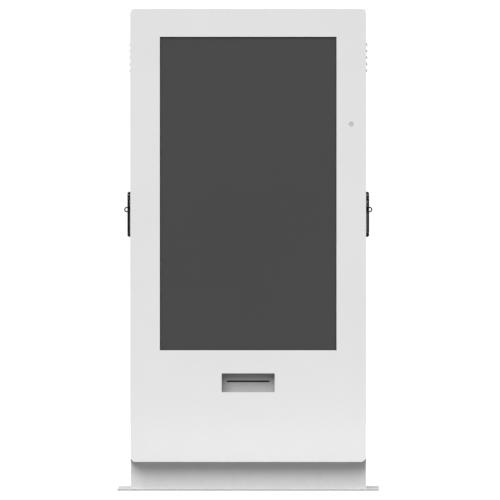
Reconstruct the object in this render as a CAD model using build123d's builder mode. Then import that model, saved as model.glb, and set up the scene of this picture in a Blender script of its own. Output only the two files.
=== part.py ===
from build123d import *
import os

os.makedirs("parts", exist_ok=True)

# A touchscreen kiosk in millimetres. The front faces -Y, up is +Z and +X is on the viewer's right.
# The origin is on the floor, under the middle of the base plate.

# Sheet metal cabinet
sheet = 2.0
cabinet_width = 910.0
cabinet_bottom = 108.0
cabinet_top = 1856.0
cabinet_front = -150.0
cabinet_rear = 150.0
corner_radius = 20.0
front_return = 25.0
half_width = cabinet_width / 2
wall_inside = half_width - sheet
shell_front = cabinet_front + front_return
cabinet_middle = (cabinet_bottom + cabinet_top) / 2
cabinet_height = cabinet_top - cabinet_bottom

# Base plate and plinth
base_width = 1010.0
base_depth = 460.0
base_thickness = 3.0
base_corner = 10.0
anchor_hole_radius = 7.0
anchor_x = 440.0
anchor_y = 195.0
plinth_front = -70.0
plinth_flange = 25.0
cable_hole_radius = 30.0
cable_y = 60.0
cable_x = 300.0

# Screen
screen_width = 682.0
screen_height = 1210.0
screen_z = 1144.25
glass_border = 9.0
glass_thickness = 4.0
gasket_thickness = 1.0
lcd_width = 701.0
lcd_height = 1231.0
lcd_depth = 12.0
air_gap = 0.5

# Sensor, high on the right
sensor_x = 398.0
sensor_z = 1411.0
sensor_radius = 10.0

# Ticket printer pocket
pocket_width = 204.6
pocket_height = 72.7
pocket_z = 413.6
pocket_depth = 52.0
slot_width = 167.0
slot_height = 6.5
slot_z = 418.0

# Side doors
door_gap = 3.0
opening_front = -110.0
opening_rear = 122.0
opening_bottom = 150.0
opening_top = 1580.0
door_return = 15.0
door_middle_z = (opening_bottom + opening_top) / 2
door_middle_y = (opening_front + opening_rear) / 2
hinge_x = half_width - 8.0
hinge_y = opening_rear - door_gap - 12.0
hinge_levels = (260.0, 865.0, 1470.0)
pin_radius = 2.5

# Swing handle and lock
handle_y = -75.0
handle_width = 34.0
handle_bottom = 976.0
handle_top = 1150.0
handle_proud = 12.0
handle_base = 3.0
spindle_z = 1125.0
spindle_radius = 6.0
turret_radius = 13.0
eye_x = half_width + 14.0
eye_z = 1081.5
eye_radius = 10.5
eye_hole_radius = 6.0
eye_thickness = 4.0
lever_width = 24.0
lever_tip_radius = 136.0
lever_pivot_x = half_width + 8.5
lever_pin_radius = 1.5
lock_module = 2.0
lock_teeth = 12
lock_x = 445.0
rod_radius = 3.0
rod_offset = 16.6

# Louvres and fans
louvre_levels = (1719.0, 1694.0, 1669.0, 1643.6, 1618.5)
louvre_length = 140.0
louvre_proud = 5.0
fan_y = 12.0
fan_z = 1669.0
fan_size = 120.0
fan_depth = 25.0
fan_bore = 57.5
fan_hub = 19.0
fan_blades = 7


def across(y):
    """The upright plane at y, seen from the front: local x is X, local y is Z. It extrudes towards -Y."""
    return Plane.XZ.offset(-y)


def sideways(x):
    """The upright plane at x, seen from +X: local x is Y, local y is Z. It extrudes towards +X."""
    return Plane.YZ.offset(x)


def save(piece, label):
    piece.part.label = label
    export_step(piece.part, f"parts/{label}.step")


def box(x0, x1, y0, y1, z0, z1, mode=Mode.ADD):
    """A plain block between two corners, added to the part being built."""
    with BuildSketch(Plane.XY.offset(z0)) as outline:
        with Locations(((x0 + x1) / 2, (y0 + y1) / 2)):
            Rectangle(x1 - x0, y1 - y0)
    extrude(outline.sketch, amount=z1 - z0, mode=mode)


def rod_x(x0, x1, y, z, radius, mode=Mode.ADD):
    """A round bar along X."""
    with BuildSketch(sideways(x0)) as outline:
        with Locations((y, z)):
            Circle(radius)
    extrude(outline.sketch, amount=x1 - x0, mode=mode)


def rod_y(y0, y1, x, z, radius, mode=Mode.ADD):
    """A round bar along Y."""
    with BuildSketch(across(y1)) as outline:
        with Locations((x, z)):
            Circle(radius)
    extrude(outline.sketch, amount=y1 - y0, mode=mode)


def rod_z(z0, z1, x, y, radius, mode=Mode.ADD):
    """A round bar along Z."""
    with BuildSketch(Plane.XY.offset(z0)) as outline:
        with Locations((x, y)):
            Circle(radius)
    extrude(outline.sketch, amount=z1 - z0, mode=mode)


def gear_profile(module, teeth):
    """A straight-sided gear outline about the current location, with generous backlash."""
    root = module * (teeth / 2 - 0.7)
    height = module * 1.2
    Circle(root)
    with PolarLocations(root, teeth):
        Polygon(
            (-module * 0.3, -module * 0.75),
            (height, -module * 0.43),
            (height, module * 0.43),
            (-module * 0.3, module * 0.75),
            align=None,
        )


# ---------------------------------------------------------------- base plate and plinth

with BuildPart() as base_plate:
    with BuildSketch(Plane.XY):
        RectangleRounded(base_width, base_depth, base_corner)
    extrude(amount=base_thickness)
    with Locations((0, 0, base_thickness)):
        with GridLocations(2 * anchor_x, 2 * anchor_y, 2, 2):
            Hole(anchor_hole_radius)
    with Locations((cable_x, cable_y, base_thickness)):
        Hole(cable_hole_radius)
save(base_plate, "base_plate")

plinth_middle = (plinth_front + cabinet_rear) / 2
plinth_depth = cabinet_rear - plinth_front
with BuildPart() as plinth:
    with BuildSketch(Plane.XY.offset(base_thickness)):
        with Locations((0, plinth_middle)):
            Rectangle(cabinet_width, plinth_depth)
            Rectangle(cabinet_width - 2 * sheet, plinth_depth - 2 * sheet, mode=Mode.SUBTRACT)
    extrude(amount=cabinet_bottom - base_thickness)
    for flange_z in (base_thickness, cabinet_bottom - sheet):
        with BuildSketch(Plane.XY.offset(flange_z)):
            with Locations((0, plinth_middle)):
                Rectangle(cabinet_width - sheet, plinth_depth - sheet)
                Rectangle(
                    cabinet_width - 2 * plinth_flange,
                    plinth_depth - 2 * plinth_flange,
                    mode=Mode.SUBTRACT,
                )
        extrude(amount=sheet)
save(plinth, "plinth")

bolt_radius = 4.0
bolt_head_radius = 7.0
bolt_head_height = 5.0
with BuildPart() as plinth_bolts:
    for bolt_z in (base_thickness + sheet, cabinet_bottom - sheet - bolt_head_height):
        with BuildSketch(Plane.XY.offset(bolt_z)):
            with Locations((0, plinth_middle)):
                with GridLocations((cabinet_width - 28) / 2, plinth_depth - 28, 3, 2):
                    RegularPolygon(bolt_head_radius, 6)
        extrude(amount=bolt_head_height)
save(plinth_bolts, "plinth_bolts")

# ---------------------------------------------------------------- cabinet sheet metal

with BuildPart() as floor_pan:
    box(-wall_inside, wall_inside, shell_front, cabinet_rear - 2 * sheet, cabinet_bottom, cabinet_bottom + sheet)
    rod_z(cabinet_bottom, cabinet_bottom + sheet, cable_x, cable_y, 12.6, Mode.SUBTRACT)
save(floor_pan, "floor_pan")

shell_depth = cabinet_rear - shell_front
side_flange = 16.0
with BuildPart() as cabinet_shell:
    with BuildSketch(across(cabinet_rear)):
        with BuildLine():
            Polyline(
                (-half_width, cabinet_bottom),
                (-half_width, cabinet_top),
                (half_width, cabinet_top),
                (half_width, cabinet_bottom),
                close=True,
            )
        make_face()
        fillet(vertices().group_by(Axis.Y)[-1], corner_radius)
        with BuildLine():
            Polyline(
                (-wall_inside, cabinet_bottom - 1),
                (-wall_inside, cabinet_top - sheet),
                (wall_inside, cabinet_top - sheet),
                (wall_inside, cabinet_bottom - 1),
                close=True,
            )
        make_face(mode=Mode.SUBTRACT)
    extrude(amount=shell_depth)
    # The inside of the top corners follows the outside bend.
    for side in (-1, 1):
        with BuildSketch(across(cabinet_rear)):
            with BuildLine():
                corner_x = side * wall_inside
                corner_z = cabinet_top - sheet
                inner_bend = corner_radius - sheet
                ThreePointArc(
                    (corner_x, corner_z - inner_bend),
                    (corner_x - side * inner_bend * 0.2929, corner_z - inner_bend * 0.2929),
                    (corner_x - side * inner_bend, corner_z),
                )
                Polyline(
                    (corner_x - side * inner_bend, corner_z),
                    (corner_x + side * 0.5, corner_z + 0.5),
                    (corner_x, corner_z - inner_bend),
                )
            make_face()
        extrude(amount=shell_depth)
    # Rear flanges carry the rear panel.
    for side in (-1, 1):
        x0, x1 = sorted((side * (wall_inside - side_flange), side * (wall_inside + 0.5)))
        box(x0, x1, cabinet_rear - 2 * sheet, cabinet_rear - sheet, cabinet_bottom, cabinet_top - corner_radius)
        # Door openings, louvre slots and pressed louvre hoods
        x0, x1 = sorted((side * (wall_inside - 1), side * (half_width + 1)))
        box(x0, x1, opening_front, opening_rear, opening_bottom, opening_top, Mode.SUBTRACT)
        for level in louvre_levels:
            box(
                x0,
                x1,
                fan_y - louvre_length / 2 + sheet,
                fan_y + louvre_length / 2 - sheet,
                level - 5,
                level + 3.5,
                Mode.SUBTRACT,
            )
            with BuildSketch(across(fan_y + louvre_length / 2)):
                with BuildLine():
                    Polyline(
                        (side * (half_width - 0.5), level + 3.5),
                        (side * (half_width - 0.5), level + 6.5),
                        (side * half_width, level + 6.5),
                        (side * (half_width + 3.2), level + 3.6),
                        (side * (half_width + louvre_proud), level - 1.5),
                        (side * (half_width + louvre_proud), level - 5),
                        (side * (half_width + louvre_proud - 1.5), level - 5),
                        (side * (half_width + louvre_proud - 1.5), level - 1.8),
                        (side * (half_width + 2), level + 2.4),
                        close=True,
                    )
                make_face()
            extrude(amount=louvre_length)
            for end_y in (fan_y - louvre_length / 2 + sheet, fan_y + louvre_length / 2):
                with BuildSketch(across(end_y)):
                    with BuildLine():
                        Polyline(
                            (side * (half_width - 0.5), level - 5),
                            (side * (half_width - 0.5), level + 6.5),
                            (side * half_width, level + 6.5),
                            (side * (half_width + 3.2), level + 3.6),
                            (side * (half_width + louvre_proud), level - 1.5),
                            (side * (half_width + louvre_proud), level - 5),
                            close=True,
                        )
                    make_face()
                extrude(amount=sheet)
save(cabinet_shell, "cabinet_shell")

with BuildPart() as front_panel:
    with BuildSketch(across(cabinet_front + sheet)):
        with Locations((0, cabinet_middle)):
            RectangleRounded(cabinet_width, cabinet_height, corner_radius)
        with Locations((0, screen_z)):
            Rectangle(screen_width, screen_height, mode=Mode.SUBTRACT)
        with Locations((0, pocket_z)):
            Rectangle(pocket_width, pocket_height, mode=Mode.SUBTRACT)
        with Locations((sensor_x, sensor_z)):
            Circle(sensor_radius, mode=Mode.SUBTRACT)
    extrude(amount=sheet)
    with BuildSketch(across(shell_front)):
        with Locations((0, cabinet_middle)):
            RectangleRounded(cabinet_width, cabinet_height, corner_radius)
            RectangleRounded(
                cabinet_width - 2 * sheet,
                cabinet_height - 2 * sheet,
                corner_radius - sheet,
                mode=Mode.SUBTRACT,
            )
    extrude(amount=front_return - sheet)
save(front_panel, "front_panel")

panel_half = wall_inside - 0.6
intake_z = 300.0
with BuildPart() as rear_panel:
    with BuildSketch(across(cabinet_rear)):
        with BuildLine():
            Polyline(
                (-panel_half, cabinet_bottom + 0.6),
                (-panel_half, cabinet_top - sheet - 0.6),
                (panel_half, cabinet_top - sheet - 0.6),
                (panel_half, cabinet_bottom + 0.6),
                close=True,
            )
        make_face()
        fillet(vertices().group_by(Axis.Y)[-1], corner_radius - sheet)
        with Locations((0, intake_z)):
            with GridLocations(60, 14, 6, 7):
                SlotOverall(48, 5, mode=Mode.SUBTRACT)
    extrude(amount=sheet)
save(rear_panel, "rear_panel")

screw_rows = 6
with BuildPart() as rear_panel_screws:
    with BuildSketch(across(cabinet_rear)):
        with Locations((0, cabinet_middle)):
            with GridLocations(2 * (wall_inside - 8), (cabinet_height - 120) / (screw_rows - 1), 2, screw_rows):
                Circle(4.75)
    extrude(amount=-2.6)
    fillet(faces().sort_by(Axis.Y)[-2 * screw_rows :].edges(), 1.5)
save(rear_panel_screws, "rear_panel_screws")

# ---------------------------------------------------------------- screen

glass_back = cabinet_front + sheet + gasket_thickness + glass_thickness
with BuildPart() as glass_gasket:
    with BuildSketch(across(glass_back - glass_thickness)):
        with Locations((0, screen_z)):
            Rectangle(screen_width + 2 * glass_border, screen_height + 2 * glass_border)
            Rectangle(screen_width, screen_height, mode=Mode.SUBTRACT)
    extrude(amount=gasket_thickness)
save(glass_gasket, "glass_gasket")

with BuildPart() as touch_glass:
    with BuildSketch(across(glass_back)):
        with Locations((0, screen_z)):
            RectangleRounded(screen_width + 2 * glass_border, screen_height + 2 * glass_border, 4)
    extrude(amount=glass_thickness)
save(touch_glass, "touch_glass")

lcd_back = glass_back + air_gap + lcd_depth
with BuildPart() as lcd_panel:
    with BuildSketch(across(lcd_back)):
        with Locations((0, screen_z)):
            Rectangle(lcd_width, lcd_height)
    extrude(amount=lcd_depth)
    with BuildSketch(across(lcd_back + 6)):
        with Locations((0, screen_z)):
            Rectangle(lcd_width - 160, 180)
    extrude(amount=6)
save(lcd_panel, "lcd_panel")

rail_levels = (700.0, 1330.0, 1600.0)
rail_height = 30.0
rail_depth = 10.0
rail_back = lcd_back + rail_depth
with BuildPart() as display_rails:
    for level in rail_levels:
        box(-wall_inside, wall_inside, lcd_back, lcd_back + sheet, level - rail_height / 2, level + rail_height / 2)
        for edge in (level - rail_height / 2, level + rail_height / 2 - sheet):
            box(-wall_inside, wall_inside, lcd_back, rail_back, edge, edge + sheet)
save(display_rails, "display_rails")

# ---------------------------------------------------------------- equipment plate and electronics

plate_left = -240.0
plate_right = 240.0
plate_bottom = 690.0
plate_top = 1410.0
plate_front = -95.0
plate_back = plate_front + sheet
with BuildPart() as equipment_plate:
    box(plate_left, plate_right, plate_front, plate_back, plate_bottom, plate_top)
    for edge_x in (plate_left, plate_right - sheet):
        box(edge_x, edge_x + sheet, plate_front - 12, plate_back, plate_bottom, plate_top)
    for post_x in (plate_left + 30, plate_right - 30):
        for level in rail_levels[:2]:
            rod_y(lcd_back + sheet, plate_front, post_x, level, 6)
save(equipment_plate, "equipment_plate")

pc_left = 20.0
pc_right = 220.0
pc_bottom = 1150.0
pc_top = 1340.0
pc_depth = 48.0
button_radius = 6.0
button_travel = 1.5
button_z = 1310.0
button_y = plate_back + 24.0
with BuildPart() as media_pc:
    box(pc_left, pc_right, plate_back, plate_back + pc_depth - 14, pc_bottom, pc_top)
    for fin in range(17):
        fin_z = pc_bottom + 6 + fin * 11
        box(pc_left + 4, pc_right - 4, plate_back + pc_depth - 15, plate_back + pc_depth, fin_z, fin_z + 3)
    rod_x(pc_right - 8, pc_right, button_y, button_z, button_radius + 0.1, Mode.SUBTRACT)
    for port in range(4):
        port_z = pc_bottom + 30 + port * 26
        box(pc_right - 4, pc_right, plate_back + 8, plate_back + 22, port_z, port_z + 14, Mode.SUBTRACT)
save(media_pc, "media_pc")

with BuildPart() as pc_power_button:
    rod_x(pc_right - 6, pc_right + 1.8, button_y, button_z, button_radius)
    fillet(faces().sort_by(Axis.X)[-1].edges(), 0.6)
save(pc_power_button, "pc_power_button")

supply_left = -220.0
supply_right = -110.0
supply_bottom = 1150.0
supply_top = 1365.0
supply_depth = 50.0
with BuildPart() as power_supply:
    box(supply_left, supply_right, plate_back, plate_back + supply_depth, supply_bottom, supply_top)
    with BuildSketch(across(plate_back + supply_depth)):
        with Locations(((supply_left + supply_right) / 2, (supply_bottom + supply_top) / 2 + 15)):
            with HexLocations(5.5, 8, 12):
                Circle(3.2)
    extrude(amount=1.5, mode=Mode.SUBTRACT)
save(power_supply, "power_supply")

with BuildPart() as driver_board:
    box(-95, 85, plate_back + 8, plate_back + 9.6, 770, 900)
    for post_x in (-88, 78):
        for post_z in (777, 893):
            rod_y(plate_back, plate_back + 8, post_x, post_z, 3)
    box(-70, -40, plate_back + 9.6, plate_back + 17, 790, 830)
    box(-20, 15, plate_back + 9.6, plate_back + 13, 800, 835)
    box(30, 75, plate_back + 9.6, plate_back + 20, 860, 875)
    rod_y(plate_back + 9.6, plate_back + 28, -60, 865, 9)
    rod_y(plate_back + 9.6, plate_back + 28, -35, 865, 9)
save(driver_board, "driver_board")

rail_z = 1040.0
din_depth = 7.5
with BuildPart() as din_rail:
    box(-200, 200, plate_back, plate_back + 1, rail_z - 12.5, rail_z + 12.5)
    for sign in (-1, 1):
        lower, upper = sorted((rail_z + sign * 12.5, rail_z + sign * 11.5))
        box(-200, 200, plate_back, plate_back + din_depth, lower, upper)
        lower, upper = sorted((rail_z + sign * 11.5, rail_z + sign * 17.5))
        box(-200, 200, plate_back + din_depth - 1, plate_back + din_depth, lower, upper)
save(din_rail, "din_rail")

breaker_back = plate_back + din_depth
breaker_left = -150.0
breaker_right = -114.0
breaker_pivot_y = breaker_back + 50.0
toggle_radius = 8.0
with BuildPart() as circuit_breaker:
    box(breaker_left, breaker_right, breaker_back, breaker_back + 45, rail_z - 42, rail_z + 42)
    box(breaker_left, breaker_right, breaker_back + 45, breaker_back + 60, rail_z - 22, rail_z + 22)
    box(
        breaker_left + 6,
        breaker_right - 6,
        breaker_pivot_y - toggle_radius - 1.5,
        breaker_back + 61,
        rail_z - 13,
        rail_z + 13,
        Mode.SUBTRACT,
    )
save(circuit_breaker, "circuit_breaker")

with BuildPart() as breaker_toggle:
    rod_x(breaker_left + 6.3, breaker_right - 6.3, breaker_pivot_y, rail_z, toggle_radius)
    with BuildSketch(sideways(breaker_left + 8)):
        with BuildLine():
            Polyline(
                (breaker_pivot_y + 2, rail_z - 4),
                (breaker_pivot_y + 14, rail_z - 12.5),
                (breaker_pivot_y + 17, rail_z - 9),
                (breaker_pivot_y + 7, rail_z + 2),
                close=True,
            )
        make_face()
    extrude(amount=breaker_right - breaker_left - 16)
save(breaker_toggle, "breaker_toggle")

# ---------------------------------------------------------------- sensor and cable entry

with BuildPart() as sensor_window:
    rod_y(cabinet_front + sheet, cabinet_front + 2 * sheet, sensor_x, sensor_z, sensor_radius + 4)
save(sensor_window, "sensor_window")

with BuildPart() as sensor_housing:
    with BuildSketch(across(cabinet_front + 2 * sheet + 18)):
        with Locations((sensor_x, sensor_z)):
            RectangleRounded(40, 70, 5)
    extrude(amount=18)
    with BuildSketch(across(cabinet_front + 2 * sheet)):
        with Locations((sensor_x, sensor_z)):
            RectangleRounded(40, 70, 5)
            Circle(sensor_radius + 4, mode=Mode.SUBTRACT)
    extrude(amount=sheet)
save(sensor_housing, "sensor_housing")

with BuildPart() as cable_gland:
    rod_z(cabinet_bottom - 12, cabinet_bottom + sheet + 12, cable_x, cable_y, 12.5)
    for nut_z in (cabinet_bottom - 6, cabinet_bottom + sheet):
        with BuildSketch(Plane.XY.offset(nut_z)):
            with Locations((cable_x, cable_y)):
                RegularPolygon(18, 6)
        extrude(amount=6)
    rod_z(cabinet_bottom + sheet + 6, cabinet_bottom + sheet + 24, cable_x, cable_y, 14)
    fillet(faces().sort_by(Axis.Z)[-1].edges(), 3)
    rod_z(cabinet_bottom - 12, cabinet_bottom + sheet + 24, cable_x, cable_y, 6, Mode.SUBTRACT)
save(cable_gland, "cable_gland")

# ---------------------------------------------------------------- ticket printer

pocket_top = pocket_z + pocket_height / 2
pocket_bottom = pocket_z - pocket_height / 2
panel_back = cabinet_front + sheet
pocket_half = pocket_width / 2
pocket_back = panel_back + pocket_depth
with BuildPart() as printer_bezel:
    box(
        -pocket_half - sheet,
        pocket_half + sheet,
        panel_back,
        pocket_back + sheet,
        pocket_bottom - sheet,
        pocket_top + sheet,
    )
    with BuildSketch(across(panel_back + sheet)):
        with Locations((0, pocket_z)):
            Rectangle(pocket_width + 30, pocket_height + 30)
    extrude(amount=sheet)
    box(
        -pocket_half,
        pocket_half,
        panel_back - 1,
        pocket_back,
        pocket_bottom,
        pocket_top,
        Mode.SUBTRACT,
    )
    with BuildSketch(across(pocket_back + 2 * sheet)):
        with Locations((0, slot_z)):
            SlotOverall(slot_width, slot_height)
    extrude(amount=3 * sheet, mode=Mode.SUBTRACT)
save(printer_bezel, "printer_bezel")

cheek_inside = pocket_half + sheet
cheek_outside = cheek_inside + sheet
chassis_bottom = 300.0
chassis_top = 446.0
chassis_front = -118.0
chassis_rear = 75.0
platen_y = -82.0
platen_z = 408.0
platen_radius = 8.5
platen_shaft_radius = 3.0
motor_pinion_teeth = 12
platen_gear_teeth = 24
printer_module = 1.2
motor_z = platen_z
roll_y = 8.0
roll_z = 372.0
roll_radius = 50.0
roll_width = 150.0
roll_bore = 12.7
axle_radius = 12.0
gear_face = 5.0
gear_x = cheek_outside + 2.0
gear_centres = printer_module * (motor_pinion_teeth + platen_gear_teeth) / 2
motor_y = platen_y + gear_centres
with BuildPart() as printer_chassis:
    box(-cheek_outside, cheek_outside, chassis_front, chassis_rear, chassis_bottom, chassis_bottom + sheet)
    for side in (-1, 1):
        x0, x1 = sorted((side * cheek_inside, side * cheek_outside))
        box(x0, x1, cabinet_front + 5, chassis_rear, chassis_bottom, chassis_top)
    box(-cheek_outside, cheek_outside, chassis_rear - sheet, chassis_rear, chassis_bottom, chassis_top - 40)
    rod_x(-cheek_outside - 1, cheek_outside + 1, platen_y, platen_z, platen_shaft_radius + 0.05, Mode.SUBTRACT)
    rod_x(cheek_inside - 1, cheek_outside + 1, motor_y, motor_z, 2.55, Mode.SUBTRACT)
save(printer_chassis, "printer_chassis")

with BuildPart() as print_head:
    box(-84, 84, platen_y - 7, platen_y + 12, platen_z + platen_radius + 0.4, platen_z + platen_radius + 14)
    for fin in range(12):
        fin_x = -77 + fin * 13.5
        box(
            fin_x,
            fin_x + 4,
            platen_y - 5,
            platen_y + 12,
            platen_z + platen_radius + 14,
            platen_z + platen_radius + 20,
        )
    for side in (-1, 1):
        x0, x1 = sorted((side * 84, side * cheek_inside))
        box(x0, x1, platen_y - 3, platen_y + 8, platen_z + platen_radius + 4, platen_z + platen_radius + 12)
save(print_head, "print_head")

with BuildPart() as platen_roller:
    rod_x(-80, 80, platen_y, platen_z, platen_radius)
    rod_x(-cheek_outside - 2, gear_x + gear_face + 2, platen_y, platen_z, platen_shaft_radius)
save(platen_roller, "platen_roller")

with BuildPart() as platen_gear:
    with BuildSketch(sideways(gear_x)):
        with Locations((platen_y, platen_z)):
            gear_profile(printer_module, platen_gear_teeth)
            Circle(platen_shaft_radius, mode=Mode.SUBTRACT)
    extrude(amount=gear_face)
save(platen_gear, "platen_gear")

with BuildPart() as printer_motor:
    box(cheek_inside - 20, cheek_inside, motor_y - 9, motor_y + 18, motor_z - 14, motor_z + 14)
    rod_x(cheek_inside - 19, cheek_inside + 1, motor_y, motor_z, 2.55, Mode.SUBTRACT)
save(printer_motor, "printer_motor")

with BuildPart() as motor_pinion:
    with BuildSketch(sideways(gear_x)):
        with Locations(Location((motor_y, motor_z), 15)):
            gear_profile(printer_module, motor_pinion_teeth)
    extrude(amount=gear_face)
    rod_x(cheek_inside - 18, gear_x, motor_y, motor_z, 2.5)
save(motor_pinion, "motor_pinion")

with BuildPart() as paper_roll:
    rod_x(-roll_width / 2, roll_width / 2, roll_y, roll_z, roll_radius)
    rod_x(-roll_width / 2, roll_width / 2, roll_y, roll_z, roll_bore, Mode.SUBTRACT)
save(paper_roll, "paper_roll")

with BuildPart() as roll_axle:
    rod_x(-cheek_inside, cheek_inside, roll_y, roll_z, axle_radius)
    for side in (-1, 1):
        x0, x1 = sorted((side * (roll_width / 2 + 1.5), side * (roll_width / 2 + 4.5)))
        rod_x(x0, x1, roll_y, roll_z, 24)
save(roll_axle, "roll_axle")

lid_z = chassis_top
lid_hinge_y = chassis_rear - 8
lid_hinge_z = lid_z + 5.0
lid_front = -62.0
with BuildPart() as printer_lid:
    box(-cheek_outside, cheek_outside, lid_front, lid_hinge_y - 6, lid_z + 1, lid_z + 1 + sheet)
    box(-cheek_outside, cheek_outside, lid_front, lid_front + sheet, lid_z + 1, lid_z + 12)
    for knuckle_x in (-80, 80):
        box(knuckle_x - 12, knuckle_x + 12, lid_hinge_y - 8, lid_hinge_y, lid_z + 1, lid_hinge_z + 2)
        rod_x(knuckle_x - 12, knuckle_x + 12, lid_hinge_y, lid_hinge_z, 3.6)
        rod_x(knuckle_x - 12, knuckle_x + 12, lid_hinge_y, lid_hinge_z, 1.55, Mode.SUBTRACT)
save(printer_lid, "printer_lid")

with BuildPart() as lid_hinge:
    rod_x(-102, 102, lid_hinge_y, lid_hinge_z, 1.5)
    for knuckle_x in (-98, 98):
        box(knuckle_x - 4, knuckle_x + 4, lid_hinge_y - 3.6, lid_hinge_y + 3.6, lid_z - 30, lid_hinge_z + 3.6)
    box(-102, 102, lid_hinge_y + 6, lid_hinge_y + 8, lid_z - 40, lid_z - 26)
    for knuckle_x in (-98, 98):
        box(knuckle_x - 4, knuckle_x + 4, lid_hinge_y - 3.6, lid_hinge_y + 8, lid_z - 34, lid_z - 28)
save(lid_hinge, "lid_hinge")

# ---------------------------------------------------------------- pieces made on both sides

right_pieces = []


def keep(piece, label):
    """Save a piece of the right side, and remember it for the left."""
    save(piece, "right_" + label)
    right_pieces.append((piece, label))


def keep_pair(piece, label):
    """Save a cabinet piece of the right side together with its mirror image on the left."""
    with BuildPart() as pair:
        add(piece.part)
        mirror(piece.part, about=Plane.YZ)
    save(pair, label)


# Door frame: a ring behind the opening, with a rebate for the seal on three sides
frame_depth = 22.0
frame_inner = wall_inside - frame_depth
rebate_end = 94.0
with BuildPart() as door_frame:
    with BuildSketch(sideways(frame_inner)):
        with Locations((door_middle_y, door_middle_z)):
            Rectangle(
                opening_rear - opening_front + 2 * sheet,
                opening_top - opening_bottom + 2 * sheet,
            )
            Rectangle(opening_rear - opening_front, opening_top - opening_bottom, mode=Mode.SUBTRACT)
    extrude(amount=frame_depth)
    with BuildSketch(sideways(frame_inner)):
        with BuildLine():
            Polyline(
                (rebate_end, opening_bottom - 1),
                (opening_front - 1, opening_bottom - 1),
                (opening_front - 1, opening_top + 1),
                (rebate_end, opening_top + 1),
                (rebate_end, opening_top - 12),
                (opening_front + 12, opening_top - 12),
                (opening_front + 12, opening_bottom + 12),
                (rebate_end, opening_bottom + 12),
                close=True,
            )
        make_face()
    extrude(amount=sheet)
keep_pair(door_frame, "door_frames")

door_inner_x = half_width - door_return
seal_clearance = 0.4
with BuildPart() as door_seal:
    with BuildSketch(sideways(frame_inner + sheet)):
        with BuildLine():
            Polyline(
                (rebate_end, opening_bottom + 1),
                (opening_front + 1, opening_bottom + 1),
                (opening_front + 1, opening_top - 1),
                (rebate_end, opening_top - 1),
                (rebate_end, opening_top - 9),
                (opening_front + 9, opening_top - 9),
                (opening_front + 9, opening_bottom + 9),
                (rebate_end, opening_bottom + 9),
                close=True,
            )
        make_face()
    extrude(amount=door_inner_x - seal_clearance - frame_inner - sheet)
keep_pair(door_seal, "door_seals")

bracket_half = 8.0
leaf_gap = 0.2
leaf_height = 8.0
bracket_end = frame_inner - 0.1
with BuildPart() as hinge_brackets:
    for level in hinge_levels:
        with BuildSketch(Plane.XY.offset(level - bracket_half)):
            with BuildLine():
                Polyline(
                    (hinge_x, hinge_y - 5),
                    (hinge_x, hinge_y),
                    (bracket_end, hinge_y),
                    (bracket_end, opening_rear + sheet),
                    (wall_inside, opening_rear + sheet),
                    (wall_inside, opening_rear + sheet + 4),
                    (bracket_end - 4, opening_rear + sheet + 4),
                    (bracket_end - 4, hinge_y - 5),
                    close=True,
                )
            make_face()
            with Locations((hinge_x, hinge_y)):
                Circle(5)
                Circle(pin_radius + 0.05, mode=Mode.SUBTRACT)
        extrude(amount=2 * bracket_half)
keep_pair(hinge_brackets, "hinge_brackets")

with BuildPart() as hinge_leaves:
    for level in hinge_levels:
        for start in (level + bracket_half + leaf_gap, level - bracket_half - leaf_gap - leaf_height):
            box(hinge_x - 5, wall_inside, hinge_y - 5, hinge_y + 5, start, start + leaf_height)
        pin_half = bracket_half + leaf_gap + leaf_height
        rod_z(level - pin_half, level + pin_half, hinge_x, hinge_y, pin_radius)
keep(hinge_leaves, "hinge_leaves")

# Door: a folded tray with notches in the rear return for the hinge brackets
door_front = opening_front + door_gap
door_rear = opening_rear - door_gap
door_bottom = opening_bottom + door_gap
door_top = opening_top - door_gap
upper_rod_y = handle_y - rod_offset
lower_rod_y = handle_y + rod_offset
with BuildPart() as door_skin:
    box(door_inner_x, half_width, door_front, door_rear, door_bottom, door_top)
    box(
        door_inner_x - 1,
        wall_inside,
        door_front + sheet,
        door_rear - sheet,
        door_bottom + sheet,
        door_top - sheet,
        Mode.SUBTRACT,
    )
    for level in hinge_levels:
        box(door_inner_x - 1, wall_inside, door_rear - 3, door_rear + 1, level - 20, level + 20, Mode.SUBTRACT)
    rod_x(wall_inside - 1, half_width + 1, handle_y, spindle_z, spindle_radius + 0.5, Mode.SUBTRACT)
    rod_z(door_top - 3, door_top + 1, lock_x, upper_rod_y, rod_radius + 0.1, Mode.SUBTRACT)
    rod_z(door_bottom - 1, door_bottom + 3, lock_x, lower_rod_y, rod_radius + 0.1, Mode.SUBTRACT)
    for screw_z in (handle_bottom + 6, handle_top - 5.5):
        rod_x(wall_inside - 1, half_width + 1, handle_y, screw_z, 2.5, Mode.SUBTRACT)
keep(door_skin, "door_skin")

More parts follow.
